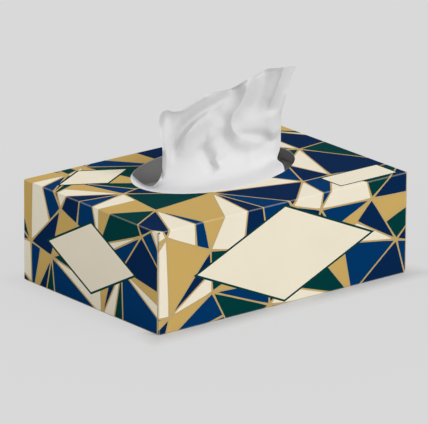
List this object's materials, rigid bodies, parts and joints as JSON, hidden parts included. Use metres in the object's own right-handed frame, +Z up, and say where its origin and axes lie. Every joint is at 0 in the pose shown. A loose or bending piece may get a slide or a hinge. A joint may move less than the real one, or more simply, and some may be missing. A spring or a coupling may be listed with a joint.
{
  "type": "tissue box",
  "caption": "Flat paperboard tissue box with an oval opening in its top panel, a pile of interfolded tissues inside and one tissue pulled up through the opening.",
  "frame": {"origin": "middle of the underside of the carton", "axes": "+X along the box, +Y to the back panel, +Z up through the opening"},
  "size_m": [0.22, 0.15, 0.1365],
  "materials": {
    "printed_board": "satin",
    "tissue_pile": "matte",
    "tissue_sheet": "matte"
  },
  "bodies": {
    "root": {"carton": "printed_board", "tissue_stack": "tissue_pile", "pulled_tissue": "tissue_sheet"}
  },
  "joints": []
}
